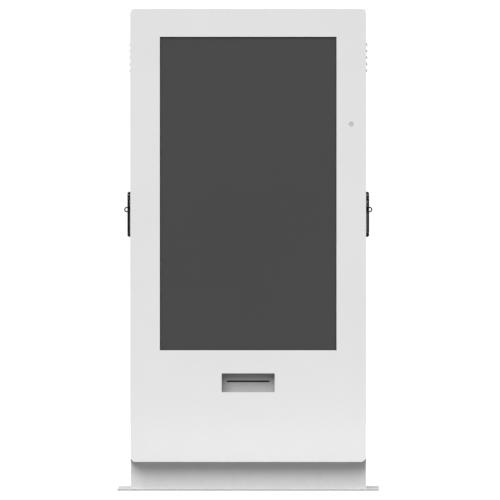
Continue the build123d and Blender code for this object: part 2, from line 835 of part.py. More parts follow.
handle_face = half_width + handle_proud
plate_rear = handle_y + handle_width / 2
plate_face = half_width + handle_base
eye_y = handle_y - handle_width / 2 + 0.5
with BuildPart() as handle_plate:
    with BuildSketch(across(plate_rear)):
        with BuildLine():
            Polyline(
                (half_width, handle_bottom),
                (handle_face, handle_bottom),
                (handle_face, handle_top),
                (half_width, handle_top),
                close=True,
            )
        make_face()
        fillet(vertices().group_by(Axis.X)[-1], 8)
    extrude(amount=handle_width)
    # The lever's bed is open to both sides, so that the lever can turn.
    with BuildSketch(sideways(plate_face)):
        with Locations((handle_y, spindle_z)):
            Circle(lever_tip_radius + 1)
        with Locations((handle_y, handle_top + 39)):
            Rectangle(400, 100, mode=Mode.SUBTRACT)
    extrude(amount=handle_proud, mode=Mode.SUBTRACT)
    with BuildSketch(across(eye_y + eye_thickness)):
        with Locations((eye_x, eye_z)):
            Circle(eye_radius)
        with Locations(((half_width + 1 + eye_x) / 2, eye_z)):
            Rectangle(eye_x - half_width - 1, 2 * eye_radius)
        with Locations((eye_x, eye_z)):
            Circle(eye_hole_radius, mode=Mode.SUBTRACT)
    extrude(amount=eye_thickness)
    rod_x(half_width - 1, plate_face + 1, handle_y, spindle_z, spindle_radius + 0.05, Mode.SUBTRACT)
    for screw_z in (handle_bottom + 6, handle_top - 5.5):
        rod_x(half_width - 1, half_width + 6, handle_y, screw_z, 2.5, Mode.SUBTRACT)
keep(handle_plate, "handle_plate")

with BuildPart() as handle_screws:
    for screw_z in (handle_bottom + 6, handle_top - 5.5):
        rod_x(wall_inside - 3, wall_inside, handle_y, screw_z, 4.5)
        rod_x(wall_inside, half_width + 6, handle_y, screw_z, 2.5)
keep(handle_screws, "handle_screws")

turret_back = plate_face + 0.3
neck_half = 6.0
with BuildPart() as spindle:
    rod_x(lock_x - 6, turret_back, handle_y, spindle_z, spindle_radius)
    rod_x(turret_back, handle_face, handle_y, spindle_z, turret_radius)
    box(
        turret_back + 1.7,
        handle_face + 1,
        handle_y - neck_half - 0.2,
        handle_y + neck_half + 0.2,
        spindle_z - turret_radius - 1,
        spindle_z + 4.5,
        Mode.SUBTRACT,
    )
    rod_y(handle_y - turret_radius, handle_y + turret_radius, lever_pivot_x, spindle_z, lever_pin_radius, Mode.SUBTRACT)
    # The lock gear is cut on the inner end of the spindle.
    with BuildSketch(sideways(lock_x - 3)):
        with Locations((handle_y, spindle_z)):
            gear_profile(lock_module, lock_teeth)
    extrude(amount=6)
keep(spindle, "spindle")

with BuildPart() as lever_pin:
    rod_y(handle_y - 12, handle_y + 12, lever_pivot_x, spindle_z, lever_pin_radius)
keep(lever_pin, "lever_pin")

lever_back = plate_face + 0.5
lever_top = spindle_z - turret_radius - 1
lever_bottom = spindle_z - lever_tip_radius
neck_depth = 3.2
with BuildPart() as lever:
    with BuildSketch(across(handle_y + lever_width / 2)):
        with BuildLine():
            Polyline(
                (lever_back, lever_bottom),
                (handle_face, lever_bottom),
                (handle_face, lever_top),
                (lever_back, lever_top),
                close=True,
            )
        make_face()
        fillet(vertices().group_by(Axis.X)[-1].sort_by(Axis.Y)[0], 5)
    extrude(amount=lever_width)
    with BuildSketch(across(handle_y + neck_half)):
        with Locations((lever_pivot_x, (lever_top - 4 + spindle_z) / 2)):
            Rectangle(2 * neck_depth, spindle_z - lever_top + 4)
        with Locations((lever_pivot_x, spindle_z)):
            Circle(neck_depth)
            Circle(lever_pin_radius + 0.05, mode=Mode.SUBTRACT)
    extrude(amount=2 * neck_half)
    with BuildSketch(across(handle_y - lever_width / 2 + eye_thickness)):
        with Locations((eye_x, eye_z)):
            Circle(eye_radius)
        with Locations(((handle_face - 2 + eye_x) / 2, eye_z)):
            Rectangle(eye_x - handle_face + 2, 2 * eye_radius)
        with Locations((eye_x, eye_z)):
            Circle(eye_hole_radius, mode=Mode.SUBTRACT)
    extrude(amount=eye_thickness)
    with BuildSketch(across(handle_y - lever_width / 2 + eye_thickness)):
        with Locations((eye_x, eye_z)):
            Circle(eye_hole_radius)
    extrude(amount=eye_thickness, mode=Mode.SUBTRACT)
keep(lever, "lever")

rack_root = lock_module * (lock_teeth / 2 + 0.7)
rack_height = lock_module * 1.2
rack_pitch = lock_module * 3.14159265


def lock_rod(y, side, end_z):
    """A rack beside the lock gear, running on into a round rod. side is -1 in front, 1 behind."""
    direction = 1 if end_z > spindle_z else -1
    rack_near = spindle_z - direction * 9
    rack_far = spindle_z + direction * 31
    with BuildSketch(sideways(lock_x - 2.5)) as rack:
        with Locations((y, (rack_near + rack_far) / 2)):
            Rectangle(2 * (rod_offset - rack_root), abs(rack_far - rack_near))
        for tooth in range(-1, 5):
            tooth_z = spindle_z + direction * (tooth + 0.5) * rack_pitch
            root_y = handle_y + side * rack_root
            tip_y = root_y - side * rack_height
            with BuildLine():
                Polyline(
                    (root_y + side * 0.6, tooth_z - 1.5),
                    (tip_y, tooth_z - 0.86),
                    (tip_y, tooth_z + 0.86),
                    (root_y + side * 0.6, tooth_z + 1.5),
                    close=True,
                )
            make_face()
    extrude(rack.sketch, amount=5)
    lower, upper = sorted((rack_far - direction, end_z))
    rod_z(lower, upper, lock_x, y, rod_radius)


with BuildPart() as upper_rod:
    lock_rod(upper_rod_y, -1, door_top + 1.5)
keep(upper_rod, "upper_rod")

with BuildPart() as lower_rod:
    lock_rod(lower_rod_y, 1, door_bottom - 1.5)
keep(lower_rod, "lower_rod")

guide_levels = ((upper_rod_y, 1300.0), (upper_rod_y, 1520.0), (lower_rod_y, 800.0), (lower_rod_y, 230.0))
with BuildPart() as rod_guides:
    for guide_y, guide_z in guide_levels:
        box(lock_x - 5, wall_inside, guide_y - 7, guide_y + 7, guide_z - 6, guide_z + 6)
        rod_z(guide_z - 6, guide_z + 6, lock_x, guide_y, rod_radius + 0.1, Mode.SUBTRACT)
keep(rod_guides, "rod_guides")

# Exhaust fan behind the louvres
fan_inner = wall_inside - fan_depth
with BuildPart() as fan_frame:
    with BuildSketch(sideways(fan_inner)):
        with Locations((fan_y, fan_z)):
            RectangleRounded(fan_size, fan_size, 6)
            Circle(fan_bore, mode=Mode.SUBTRACT)
            with GridLocations(105, 105, 2, 2):
                Circle(2.2, mode=Mode.SUBTRACT)
    extrude(amount=fan_depth)
    with BuildSketch(sideways(fan_inner)):
        with Locations((fan_y, fan_z)):
            Circle(fan_hub)
            with PolarLocations(fan_bore / 2 + 2, 4, start_angle=45):
                Rectangle(fan_bore, 6)
    extrude(amount=3)
    rod_x(fan_inner + 3, fan_inner + 12, fan_y, fan_z, 2)
keep_pair(fan_frame, "fan_frames")

with BuildPart() as fan_rotor:
    rod_x(fan_inner + 3.5, fan_inner + 22, fan_y, fan_z, fan_hub)
    for blade in range(fan_blades):
        turn = 360 * blade / fan_blades
        with BuildSketch(
            Plane(origin=(fan_inner + 13, fan_y, fan_z), x_dir=(1, 0, 0), z_dir=Vector(0, 1, 0).rotate(Axis.X, turn))
            .offset(fan_hub - 2)
        ):
            Rectangle(1.8, 24, rotation=48)
        extrude(amount=fan_bore - fan_hub)
    rod_x(fan_inner + 3, fan_inner + 12.5, fan_y, fan_z, 2.1, Mode.SUBTRACT)
keep(fan_rotor, "fan_rotor")

for right_piece, label in right_pieces:
    with BuildPart() as left_piece:
        mirror(right_piece.part, about=Plane.YZ)
    save(left_piece, "left_" + label)
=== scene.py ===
import math
import bmesh
import bpy
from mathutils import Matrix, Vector


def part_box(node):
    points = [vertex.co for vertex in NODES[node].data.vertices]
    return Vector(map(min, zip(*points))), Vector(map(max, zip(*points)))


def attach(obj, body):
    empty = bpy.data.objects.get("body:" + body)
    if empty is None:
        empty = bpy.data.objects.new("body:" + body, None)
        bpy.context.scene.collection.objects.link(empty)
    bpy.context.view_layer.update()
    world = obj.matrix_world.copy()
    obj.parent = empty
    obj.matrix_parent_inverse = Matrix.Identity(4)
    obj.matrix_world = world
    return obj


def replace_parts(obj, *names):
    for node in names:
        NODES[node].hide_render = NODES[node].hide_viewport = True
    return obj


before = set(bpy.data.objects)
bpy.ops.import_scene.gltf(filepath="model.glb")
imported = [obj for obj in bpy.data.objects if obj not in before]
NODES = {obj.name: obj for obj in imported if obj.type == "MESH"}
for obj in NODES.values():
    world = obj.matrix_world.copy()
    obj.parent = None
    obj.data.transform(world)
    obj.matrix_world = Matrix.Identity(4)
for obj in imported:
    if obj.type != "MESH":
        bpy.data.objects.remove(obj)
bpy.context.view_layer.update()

scene = bpy.context.scene


# ---------------------------------------------------------------- small helpers for node materials

class Shader:
    """A material with a principled shader, and short calls for the nodes in front of it."""

    def __init__(self, name):
        self.material = bpy.data.materials.new(name)
        self.material.use_nodes = True
        self.tree = self.material.node_tree
        self.bsdf = self.tree.nodes["Principled BSDF"]

    def node(self, kind, **settings):
        made = self.tree.nodes.new(kind)
        for key, value in settings.items():
            setattr(made, key, value)
        return made

    def link(self, source, target):
        self.tree.links.new(source, target)

    def set(self, **values):
        """Constants on the shader's own sockets."""
        names = {
            "metallic": "Metallic",
            "roughness": "Roughness",
            "ior": "IOR",
            "specular": "Specular IOR Level",
        }
        for key, value in values.items():
            self.bsdf.inputs[names[key]].default_value = value

    def place(self, stretch=(1, 1, 1)):
        """Object coordinates, in metres, stretched by axis."""
        coord = self.node("ShaderNodeTexCoord")
        mapping = self.node("ShaderNodeMapping")
        mapping.inputs["Scale"].default_value = stretch
        self.link(coord.outputs["Object"], mapping.inputs["Vector"])
        return mapping.outputs["Vector"]

    def noise(self, scale, detail=3.0, rough=0.5, stretch=(1, 1, 1)):
        made = self.node("ShaderNodeTexNoise")
        made.inputs["Scale"].default_value = scale
        made.inputs["Detail"].default_value = detail
        made.inputs["Roughness"].default_value = rough
        self.link(self.place(stretch), made.inputs["Vector"])
        return made.outputs["Fac"]

    def voronoi(self, scale):
        made = self.node("ShaderNodeTexVoronoi")
        made.inputs["Scale"].default_value = scale
        self.link(self.place(), made.inputs["Vector"])
        return made.outputs["Distance"]

    def remap(self, value, low, high, out_low=0.0, out_high=1.0):
        made = self.node("ShaderNodeMapRange")
        made.inputs["From Min"].default_value = low
        made.inputs["From Max"].default_value = high
        made.inputs["To Min"].default_value = out_low
        made.inputs["To Max"].default_value = out_high
        self.link(value, made.inputs["Value"])
        return made.outputs["Result"]

    def maths(self, operation, first, second):
        made = self.node("ShaderNodeMath", operation=operation)
        for socket, value in zip(made.inputs, (first, second)):
            if isinstance(value, (int, float)):
                socket.default_value = value
            else:
                self.link(value, socket)
        return made.outputs["Value"]

    def mix(self, factor, first, second):
        made = self.node("ShaderNodeMix", data_type="RGBA")
        if isinstance(factor, (int, float)):
            made.inputs[0].default_value = factor
        else:
            self.link(factor, made.inputs[0])
        for socket, value in ((made.inputs[6], first), (made.inputs[7], second)):
            if isinstance(value, tuple):
                socket.default_value = (*value, 1.0)
            else:
                self.link(value, socket)
        return made.outputs[2]

    def colour(self, socket):
        self.link(socket, self.bsdf.inputs["Base Color"])

    def roughness(self, socket):
        self.link(socket, self.bsdf.inputs["Roughness"])

    def bump(self, height, distance, strength):
        made = self.node("ShaderNodeBump")
        made.inputs["Distance"].default_value = distance
        made.inputs["Strength"].default_value = strength
        self.link(height, made.inputs["Height"])
        self.link(made.outputs["Normal"], self.bsdf.inputs["Normal"])

    def height_above(self, low, high):
        """0 at the lower height and 1 at the upper one, in metres."""
        coord = self.node("ShaderNodeTexCoord")
        split = self.node("ShaderNodeSeparateXYZ")
        self.link(coord.outputs["Object"], split.inputs["Vector"])
        return self.remap(split.outputs["Z"], low, high)

    def facing(self, axis):
        """How far the surface's own normal points along an axis, 0 to 1."""
        geometry = self.node("ShaderNodeNewGeometry")
        split = self.node("ShaderNodeSeparateXYZ")
        self.link(geometry.outputs["True Normal"], split.inputs["Vector"])
        return self.maths("ABSOLUTE", split.outputs[axis], 0.0)


def powder_coat(name, colour, dirt=(0.62, 0.60, 0.57), gloss=0.42):
    """Satin powder coat: fine orange peel, slight thickness variation, dust low down."""
    made = Shader(name)
    made.set(metallic=0.0, ior=1.5, specular=0.5)
    broad = made.noise(2.2, 2.0)
    fine = made.noise(60.0, 4.0)
    tone = made.maths(
        "ADD",
        made.remap(broad, 0.35, 0.65, 0.0, 0.6),
        made.remap(fine, 0.3, 0.7, 0.0, 0.4),
    )
    lighter = tuple(min(1.0, c * 1.012) for c in colour)
    darker = tuple(c * 0.985 for c in colour)
    base = made.mix(tone, darker, lighter)
    low = made.height_above(0.22, 0.0)
    speckle = made.remap(made.noise(25.0, 6.0, 0.7), 0.5, 0.75, 0.0, 0.35)
    made.colour(made.mix(made.maths("MULTIPLY", low, speckle), base, dirt))
    made.roughness(made.remap(made.noise(9.0, 3.0), 0.3, 0.7, gloss - 0.04, gloss + 0.05))
    peel = made.noise(900.0, 2.0, 0.55)
    made.bump(peel, 0.00012, 0.35)
    return made


def metal(name, colour, rough, brushed=None):
    """Bare or plated steel: brushed along one axis or mottled, darker blotches and fine scratches."""
    made = Shader(name)
    made.set(metallic=1.0)
    stretch = brushed or (1, 1, 1)
    grain = made.noise(420.0 if brushed else 55.0, 4.0, 0.6, stretch)
    blotch = made.noise(14.0, 4.0, 0.6)
    dark = tuple(c * 0.72 for c in colour)
    bright = tuple(min(1, c * 1.15) for c in colour)
    base = made.mix(made.remap(blotch, 0.35, 0.7), colour, dark)
    made.colour(made.mix(made.remap(grain, 0.3, 0.7, 0.0, 0.35), base, bright))
    made.roughness(made.remap(grain, 0.3, 0.7, rough - 0.08, rough + 0.12))
    made.bump(grain, 0.00006, 0.4)
    return made


def plastic(name, colour, rough=0.5, grain_scale=1400.0, relief=0.00008):
    """Moulded plastic with a fine spark-eroded grain and slightly uneven sheen."""
    made = Shader(name)
    made.set(metallic=0.0, ior=1.49)
    mottled = made.noise(40.0, 3.0)
    lighter = tuple(min(1, c * 1.12 + 0.004) for c in colour)
    made.colour(made.mix(made.remap(mottled, 0.35, 0.65), colour, lighter))
    made.roughness(made.remap(made.noise(30.0, 4.0), 0.3, 0.7, rough - 0.06, rough + 0.08))
    made.bump(made.voronoi(grain_scale), relief, 0.5)
    return made


def dress(shader, *names):
    """Gives the shader's material to these CAD nodes."""
    for name in names:
        piece = NODES[name]
        piece.data.materials.clear()
        piece.data.materials.append(shader.material)


WHITE = powder_coat("white_powder_coat", (0.745, 0.745, 0.745))
BLACK = powder_coat("black_powder_coat", (0.006, 0.006, 0.0065), dirt=(0.03, 0.03, 0.03), gloss=0.46)
BLACK.set(specular=0.14)
ZINC = metal("zinc_plate", (0.60, 0.61, 0.62), 0.34)
BRIGHT = metal("bright_steel", (0.66, 0.66, 0.67), 0.2)
PLATE = powder_coat("base_plate_coat", (0.745, 0.745, 0.745))
ALU = metal("aluminium", (0.63, 0.64, 0.65), 0.36, brushed=(1, 1, 0.03))
BLACK_PLASTIC = plastic("black_plastic", (0.018, 0.018, 0.019))
GREY_PLASTIC = plastic("grey_plastic", (0.42, 0.43, 0.44))
GEAR_PLASTIC = plastic("acetal", (0.74, 0.73, 0.68), 0.4)
RUBBER = plastic("rubber", (0.014, 0.014, 0.014), 0.75, 500.0, 0.0001)
BOARD = plastic("solder_mask", (0.02, 0.12, 0.05), 0.35, 900.0, 0.00004)
PAPER = plastic("thermal_paper", (0.80, 0.79, 0.76), 0.8, 2500.0, 0.00003)

dress(WHITE, "plinth", "cabinet_shell", "front_panel", "rear_panel", "right_door_skin", "left_door_skin")
dress(WHITE, "door_frames", "floor_pan")
# The pocket is coated a darker grey than the white panels: painted shade for the deep recess.
POCKET_SHADE_COAT = powder_coat("pocket_painted_shade_coat", (0.46, 0.46, 0.46))
dress(POCKET_SHADE_COAT, "printer_bezel")
dress(PLATE, "base_plate")
dress(ZINC, "plinth_bolts", "rear_panel_screws", "display_rails", "equipment_plate", "din_rail")
dress(ZINC, "hinge_brackets", "printer_chassis", "lid_hinge")
for side in ("right_", "left_"):
    dress(ZINC, side + "hinge_leaves", side + "handle_screws", side + "upper_rod", side + "lower_rod")
    dress(BLACK, side + "handle_plate", side + "lever", side + "spindle")
    dress(BRIGHT, side + "lever_pin")
    dress(BLACK_PLASTIC, side + "rod_guides", side + "fan_rotor")
dress(BLACK_PLASTIC, "fan_frames", "print_head", "printer_motor", "breaker_toggle", "roll_axle")
dress(BLACK_PLASTIC, "cable_gland", "sensor_housing")
dress(RUBBER, "glass_gasket", "door_seals", "platen_roller")
dress(ALU, "media_pc", "power_supply", "pc_power_button")
dress(BOARD, "driver_board")
dress(GREY_PLASTIC, "circuit_breaker", "printer_lid")
dress(PAPER, "paper_roll")
dress(GEAR_PLASTIC, "platen_gear", "motor_pinion")


def cut_edge_painted_shade(shader, colour):
    """Upright faces of a plate show the cut edge in place of the coat, mottled and darkened to near-black as
    painted shade where the plate meets the floor.
    """
    coat = shader.bsdf.inputs["Base Color"].links[0].from_socket
    upright = shader.remap(shader.facing("Z"), 0.6, 0.3)
    patchy = shader.remap(shader.noise(35.0, 5.0, 0.7, (1, 1, 3)), 0.3, 0.7)
    # Painted shade: the cut edge colour is darkened to stand in for the shadow along the plate's foot.
    steel = shader.mix(patchy, tuple(c * 0.75 for c in colour), tuple(c * 1.3 for c in colour))
    shader.colour(shader.mix(upright, coat, steel))


PLATE_WELD = powder_coat("weld_coat", (0.70, 0.70, 0.70))
# The edge colour is near-black, painted shade along the foot of the plate rather than the grey of cut steel.
cut_edge_painted_shade(PLATE, (0.014, 0.014, 0.0145))


def clear_glass(name, tint, frit):
    """Thin clear glass: see-through with a Fresnel sheen, and a black printed border outside the frit box."""
    made = Shader(name)
    made.set(roughness=0.25, specular=0.5)
    speckle = made.remap(made.noise(900.0), 0.3, 0.7)
    made.colour(made.mix(speckle, (0.005, 0.005, 0.005), (0.008, 0.008, 0.008)))
    clear = made.node("ShaderNodeBsdfTransparent")
    clear.inputs["Color"].default_value = (*tint, 1.0)
    gloss = made.node("ShaderNodeBsdfAnisotropic")
    smear = made.remap(made.noise(5.0, 5.0, 0.6, (1, 1, 0.5)), 0.45, 0.75, 0.10, 0.14)
    made.link(smear, gloss.inputs["Roughness"])
    fresnel = made.node("ShaderNodeFresnel")
    fresnel.inputs["IOR"].default_value = 1.5
    geometry = made.node("ShaderNodeNewGeometry")
    front = made.maths("SUBTRACT", 1.0, geometry.outputs["Backfacing"])
    sheen = made.maths("MULTIPLY", front, fresnel.outputs["Fac"])
    glass = made.node("ShaderNodeMixShader")
    made.link(sheen, glass.inputs["Fac"])
    made.link(clear.outputs["BSDF"], glass.inputs[1])
    made.link(gloss.outputs["BSDF"], glass.inputs[2])
    coord = made.node("ShaderNodeTexCoord")
    split = made.node("ShaderNodeSeparateXYZ")
    made.link(coord.outputs["Object"], split.inputs["Vector"])
    (x0, x1), (z0, z1) = frit
    across = made.maths("ABSOLUTE", made.maths("SUBTRACT", split.outputs["X"], (x0 + x1) / 2), 0.0)
    up = made.maths("ABSOLUTE", made.maths("SUBTRACT", split.outputs["Z"], (z0 + z1) / 2), 0.0)
    border = made.maths(
        "MAXIMUM",
        made.maths("GREATER_THAN", across, (x1 - x0) / 2),
        made.maths("GREATER_THAN", up, (z1 - z0) / 2),
    )
    either = made.node("ShaderNodeMixShader")
    made.link(border, either.inputs["Fac"])
    made.link(glass.outputs["Shader"], either.inputs[1])
    made.link(made.bsdf.outputs["BSDF"], either.inputs[2])
    made.link(either.outputs["Shader"], made.tree.nodes["Material Output"].inputs["Surface"])
    return made


glass_low, glass_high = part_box("touch_glass")
hidden_border = 0.009
frit_shows = 0.0022
inset = hidden_border + frit_shows
GLASS = clear_glass(
    "touch_glass",
    (0.967, 0.969, 0.968),
    ((glass_low[0] + inset, glass_high[0] - inset), (glass_low[2] + inset, glass_high[2] - inset)),
)
dress(GLASS, "touch_glass")

SCREEN = Shader("dark_display")
SCREEN.set(ior=1.45, specular=0.2)
cloud = SCREEN.remap(SCREEN.noise(1.4, 2.0), 0.3, 0.7)
SCREEN.colour(SCREEN.mix(cloud, (0.0635, 0.0635, 0.064), (0.0665, 0.0665, 0.067)))
SCREEN.roughness(SCREEN.remap(SCREEN.noise(300.0), 0.3, 0.7, 0.45, 0.55))
dress(SCREEN, "lcd_panel")

SENSOR = plastic("sensor_window", (0.52, 0.52, 0.53), 0.25, 1800.0, 0.00002)
dress(SENSOR, "sensor_window")

# ---------------------------------------------------------------- soft edges on the CAD pieces

def soften(width, *names):
    """Rounds the sharp edges of CAD nodes, as folding, moulding or deburring leaves them."""
    for name in names:
        bevel = NODES[name].modifiers.new("edge", "BEVEL")
        bevel.width = width
        bevel.segments = 2
        bevel.limit_method = "ANGLE"
        bevel.angle_limit = math.radians(35)
        bevel.harden_normals = True


soften(0.0008, "front_panel", "cabinet_shell", "rear_panel", "plinth", "printer_bezel")
soften(0.0002, "base_plate")
soften(0.0007, "media_pc", "power_supply", "circuit_breaker", "printer_motor", "display_rails", "fan_frames")
for side in ("right_", "left_"):
    soften(0.0008, side + "handle_plate", side + "door_skin")
    soften(0.0012, side + "lever")
    soften(0.0005, side + "hinge_leaves", side + "rod_guides", side + "spindle")

# ---------------------------------------------------------------- small pieces in mesh code

def add_piece(name, build, shader, body):
    """Makes an object of the bmesh, and rides it on a body."""
    bmesh.ops.remove_doubles(build, verts=build.verts, dist=1e-6)
    bmesh.ops.recalc_face_normals(build, faces=build.faces)
    mesh = bpy.data.meshes.new(name)
    build.to_mesh(mesh)
    build.free()
    mesh.materials.append(shader.material)
    piece = bpy.data.objects.new(name, mesh)
    scene.collection.objects.link(piece)
    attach(piece, body)
    return piece


def lathe(build, profile, centre, axis, steps=24, closed=False):
    """Turns (along, radius) points about an axis through the centre. A closed profile makes a ring."""
    along = Vector(axis).normalized()
    out = along.orthogonal().normalized()
    side = along.cross(out)
    rings = []
    for step in range(steps):
        angle = 2 * math.pi * step / steps
        radial = out * math.cos(angle) + side * math.sin(angle)
        rings.append([build.verts.new(Vector(centre) + along * a + radial * r) for a, r in profile])
    count = len(profile)
    for step in range(steps):
        first, second = rings[step], rings[(step + 1) % steps]
        for point in range(count if closed else count - 1):
            after = (point + 1) % count
            corners = [first[point], first[after], second[after], second[point]]
            if profile[point][1] <= 0:
                corners = [first[point], first[after], second[after]]
            elif profile[after][1] <= 0:
                corners = [first[point], first[after], second[point]]
            build.faces.new(corners)


def screw(build, centre, axis, radius, height):
    """A pan head with a washer flange and a driver recess."""
    profile = (
        (0, 0),
        (0, radius * 1.12),
        (height * 0.22, radius * 1.12),
        (height * 0.3, radius * 0.86),
        (height * 0.75, radius * 0.8),
        (height, radius * 0.55),
        (height, radius * 0.36),
        (height * 0.35, radius * 0.3),
        (height * 0.35, 0),
    )
    lathe(build, profile, centre, axis, 18)


def ring(build, centre, axis, radius, wire, steps=48, sides=8):
    """A wire bent into a circle."""
    profile = [
        (wire * math.sin(2 * math.pi * k / sides), radius + wire * math.cos(2 * math.pi * k / sides))
        for k in range(sides)
    ]
    lathe(build, profile, centre, axis, steps, closed=True)


def block(build, low, high, edge):
    """A block between two corners with its edges rounded."""
    low, high = Vector(low), Vector(high)
    made = bmesh.ops.create_cube(build, size=1.0)["verts"]
    for vert in made:
        vert.co = Vector(((low[k] + high[k]) / 2 + vert.co[k] * (high[k] - low[k]) for k in range(3)))
    edges = {e for vert in made for e in vert.link_edges}
    bmesh.ops.bevel(build, geom=list(edges), offset=edge, segments=2, profile=0.5, affect="EDGES")


# Rear panel screws, with flange and recess, in place of the plain domes
rear_low, rear_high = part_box("rear_panel_screws")
rear_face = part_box("rear_panel")[1][1]
SCREW_ROWS = 6
build = bmesh.new()
for row in range(SCREW_ROWS):
    inset = 0.00475
    z = rear_low[2] + inset + (rear_high[2] - rear_low[2] - 2 * inset) * row / (SCREW_ROWS - 1)
    for x in (rear_low[0] + inset, rear_high[0] - inset):
        screw(build, (x, rear_face, z), (0, 1, 0), 0.0043, rear_high[1] - rear_face)
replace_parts(add_piece("rear_screws", build, ZINC, "cabinet"), "rear_panel_screws")

# Wire guard on the inner face of each fan
fan_low, fan_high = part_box("fan_frames")
rotor_low, rotor_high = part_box("right_fan_rotor")
fan_y, fan_z = (rotor_low[1] + rotor_high[1]) / 2, (rotor_low[2] + rotor_high[2]) / 2
FAN_DEPTH = 0.025
guard_x = fan_high[0] - FAN_DEPTH - 0.0016
for side, sign in (("right_", 1), ("left_", -1)):
    build = bmesh.new()
    for radius in (0.014, 0.025, 0.036, 0.047, 0.057):
        ring(build, (sign * guard_x, fan_y, fan_z), (1, 0, 0), radius, 0.0008)
    for spoke in range(4):
        angle = math.radians(45 + 90 * spoke)
        out = Vector((0, math.cos(angle), math.sin(angle)))
        tube = ((0, 0), (0, 0.0008), (0.060, 0.0008), (0.060, 0))
        lathe(build, tube, Vector((sign * (guard_x - 0.0009), fan_y, fan_z)) + out * 0.012, out, 8)
        corner = out * 0.0742
        head = (sign * (guard_x + 0.0012), fan_y + corner[1], fan_z + corner[2])
        screw(build, head, (-sign, 0, 0), 0.0035, 0.0028)
    add_piece(side + "fan_guard", build, ZINC, "cabinet")

# Chips, connectors and capacitors on the display driver board
board_low, board_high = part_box("driver_board")
BOARD_STANDOFF = 0.0096
board_face = board_low[1] + BOARD_STANDOFF
bx, bz = board_low[0], board_low[2]
build = bmesh.new()
# Place on the board, width, height and rise of each chip or connector
for dx, dz, width, height, rise in (
    (0.082, 0.070, 0.014, 0.014, 0.0016),
    (0.102, 0.070, 0.010, 0.006, 0.0012),
    (0.118, 0.062, 0.018, 0.010, 0.0020),
    (0.050, 0.010, 0.024, 0.008, 0.0100),
    (0.082, 0.010, 0.024, 0.008, 0.0100),
    (0.140, 0.020, 0.012, 0.020, 0.0024),
    (0.150, 0.055, 0.006, 0.022, 0.0080),
):
    low = (bx + dx, board_face, bz + dz)
    block(build, low, (low[0] + width, low[1] + rise, low[2] + height), 0.0004)
for pin in range(12):
    block(
        build,
        (bx + 0.0805 + 0.0014 * pin, board_face, bz + 0.0665),
        (bx + 0.0811 + 0.0014 * pin, board_face + 0.0008, bz + 0.0695),
        0.0001,
    )
add_piece("board_chips", build, BLACK_PLASTIC, "cabinet")
build = bmesh.new()
for dx, dz, radius, rise in (
    (0.125, 0.100, 0.004, 0.012),
    (0.136, 0.100, 0.004, 0.012),
    (0.147, 0.100, 0.004, 0.012),
    (0.112, 0.020, 0.003, 0.008),
):
    can = (
        (0, 0),
        (0, radius),
        (0.0008, radius * 1.04),
        (rise * 0.1, radius * 0.94),
        (rise * 0.16, radius),
        (rise * 0.96, radius),
        (rise, radius * 0.9),
        (rise, radius * 0.7),
        (rise - 0.0004, 0),
    )
    lathe(build, can, (bx + dx, board_face, bz + dz), (0, 1, 0), 20)
for dx in (0.007, 0.173):
    for dz in (0.007, 0.123):
        screw(build, (bx + dx, board_face, bz + dz), (0, 1, 0), 0.0028, 0.0022)
add_piece("board_cans", build, BRIGHT, "cabinet")

# Socket shells in the computer's ports, and its foot screws
pc_low, pc_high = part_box("media_pc")
PORT_START, PORT_PITCH = 0.030, 0.026
build = bmesh.new()
for port in range(4):
    z = pc_low[2] + PORT_START + PORT_PITCH * port
    y = pc_low[1] + 0.008
    for low, high in (
        ((y, z + 0.0004), (y + 0.014, z + 0.0014)),
        ((y, z + 0.0126), (y + 0.014, z + 0.0136)),
        ((y + 0.0004, z), (y + 0.0014, z + 0.014)),
        ((y + 0.0126, z), (y + 0.0136, z + 0.014)),
    ):
        block(build, (pc_high[0] - 0.0039, *low), (pc_high[0] - 0.0002, *high), 0.0002)
for z in (pc_low[2] + 0.012, pc_high[2] - 0.012):
    for y in (pc_low[1] + 0.008, pc_low[1] + 0.026):
        screw(build, (pc_high[0], y, z), (1, 0, 0), 0.0024, 0.0016)
add_piece("pc_port_shells", build, BRIGHT, "cabinet")
build = bmesh.new()
for port in range(4):
    z = pc_low[2] + PORT_START + PORT_PITCH * port
    low = (pc_high[0] - 0.0039, pc_low[1] + 0.011, z + 0.0055)
    block(build, low, (pc_high[0] - 0.0006, pc_low[1] + 0.019, z + 0.0085), 0.0003)
add_piece("pc_port_tongues", build, BLACK_PLASTIC, "cabinet")

# Terminal strip on the power supply, with its clamp screws
psu_low, psu_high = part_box("power_supply")
TERMINAL_START, TERMINAL_PITCH = 0.018, 0.0105
build = bmesh.new()
for way in range(8):
    z = psu_low[2] + TERMINAL_START + TERMINAL_PITCH * way
    low_y = psu_low[1] + 0.006
    block(build, (psu_low[0] - 0.012, low_y, z), (psu_low[0], psu_low[1] + 0.018, z + 0.0098), 0.0006)
    rib_top = (psu_low[0], psu_low[1] + 0.020, z + 0.0004)
    block(build, (psu_low[0] - 0.014, low_y, z - 0.0006), rib_top, 0.0002)
add_piece("supply_terminals", build, BLACK_PLASTIC, "cabinet")
build = bmesh.new()
for way in range(8):
    z = psu_low[2] + TERMINAL_START + TERMINAL_PITCH * way + 0.0049
    screw(build, (psu_low[0] - 0.006, psu_low[1] + 0.018, z), (0, 1, 0), 0.0032, 0.0022)
for z in (psu_low[2] + 0.006, psu_high[2] - 0.006):
    for y in (psu_low[1] + 0.008, psu_high[1] - 0.010):
        screw(build, (psu_low[0], y, z), (-1, 0, 0), 0.0024, 0.0016)
add_piece("supply_screws", build, BRIGHT, "cabinet")

# Clamp screws of the breaker
breaker_low, breaker_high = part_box("circuit_breaker")
build = bmesh.new()
for x in (breaker_low[0] + 0.009, breaker_high[0] - 0.009):
    for z in (breaker_low[2] + 0.010, breaker_high[2] - 0.010):
        screw(build, (x, breaker_low[1] + 0.045, z), (0, 1, 0), 0.0032, 0.0018)
add_piece("breaker_screws", build, BRIGHT, "cabinet")

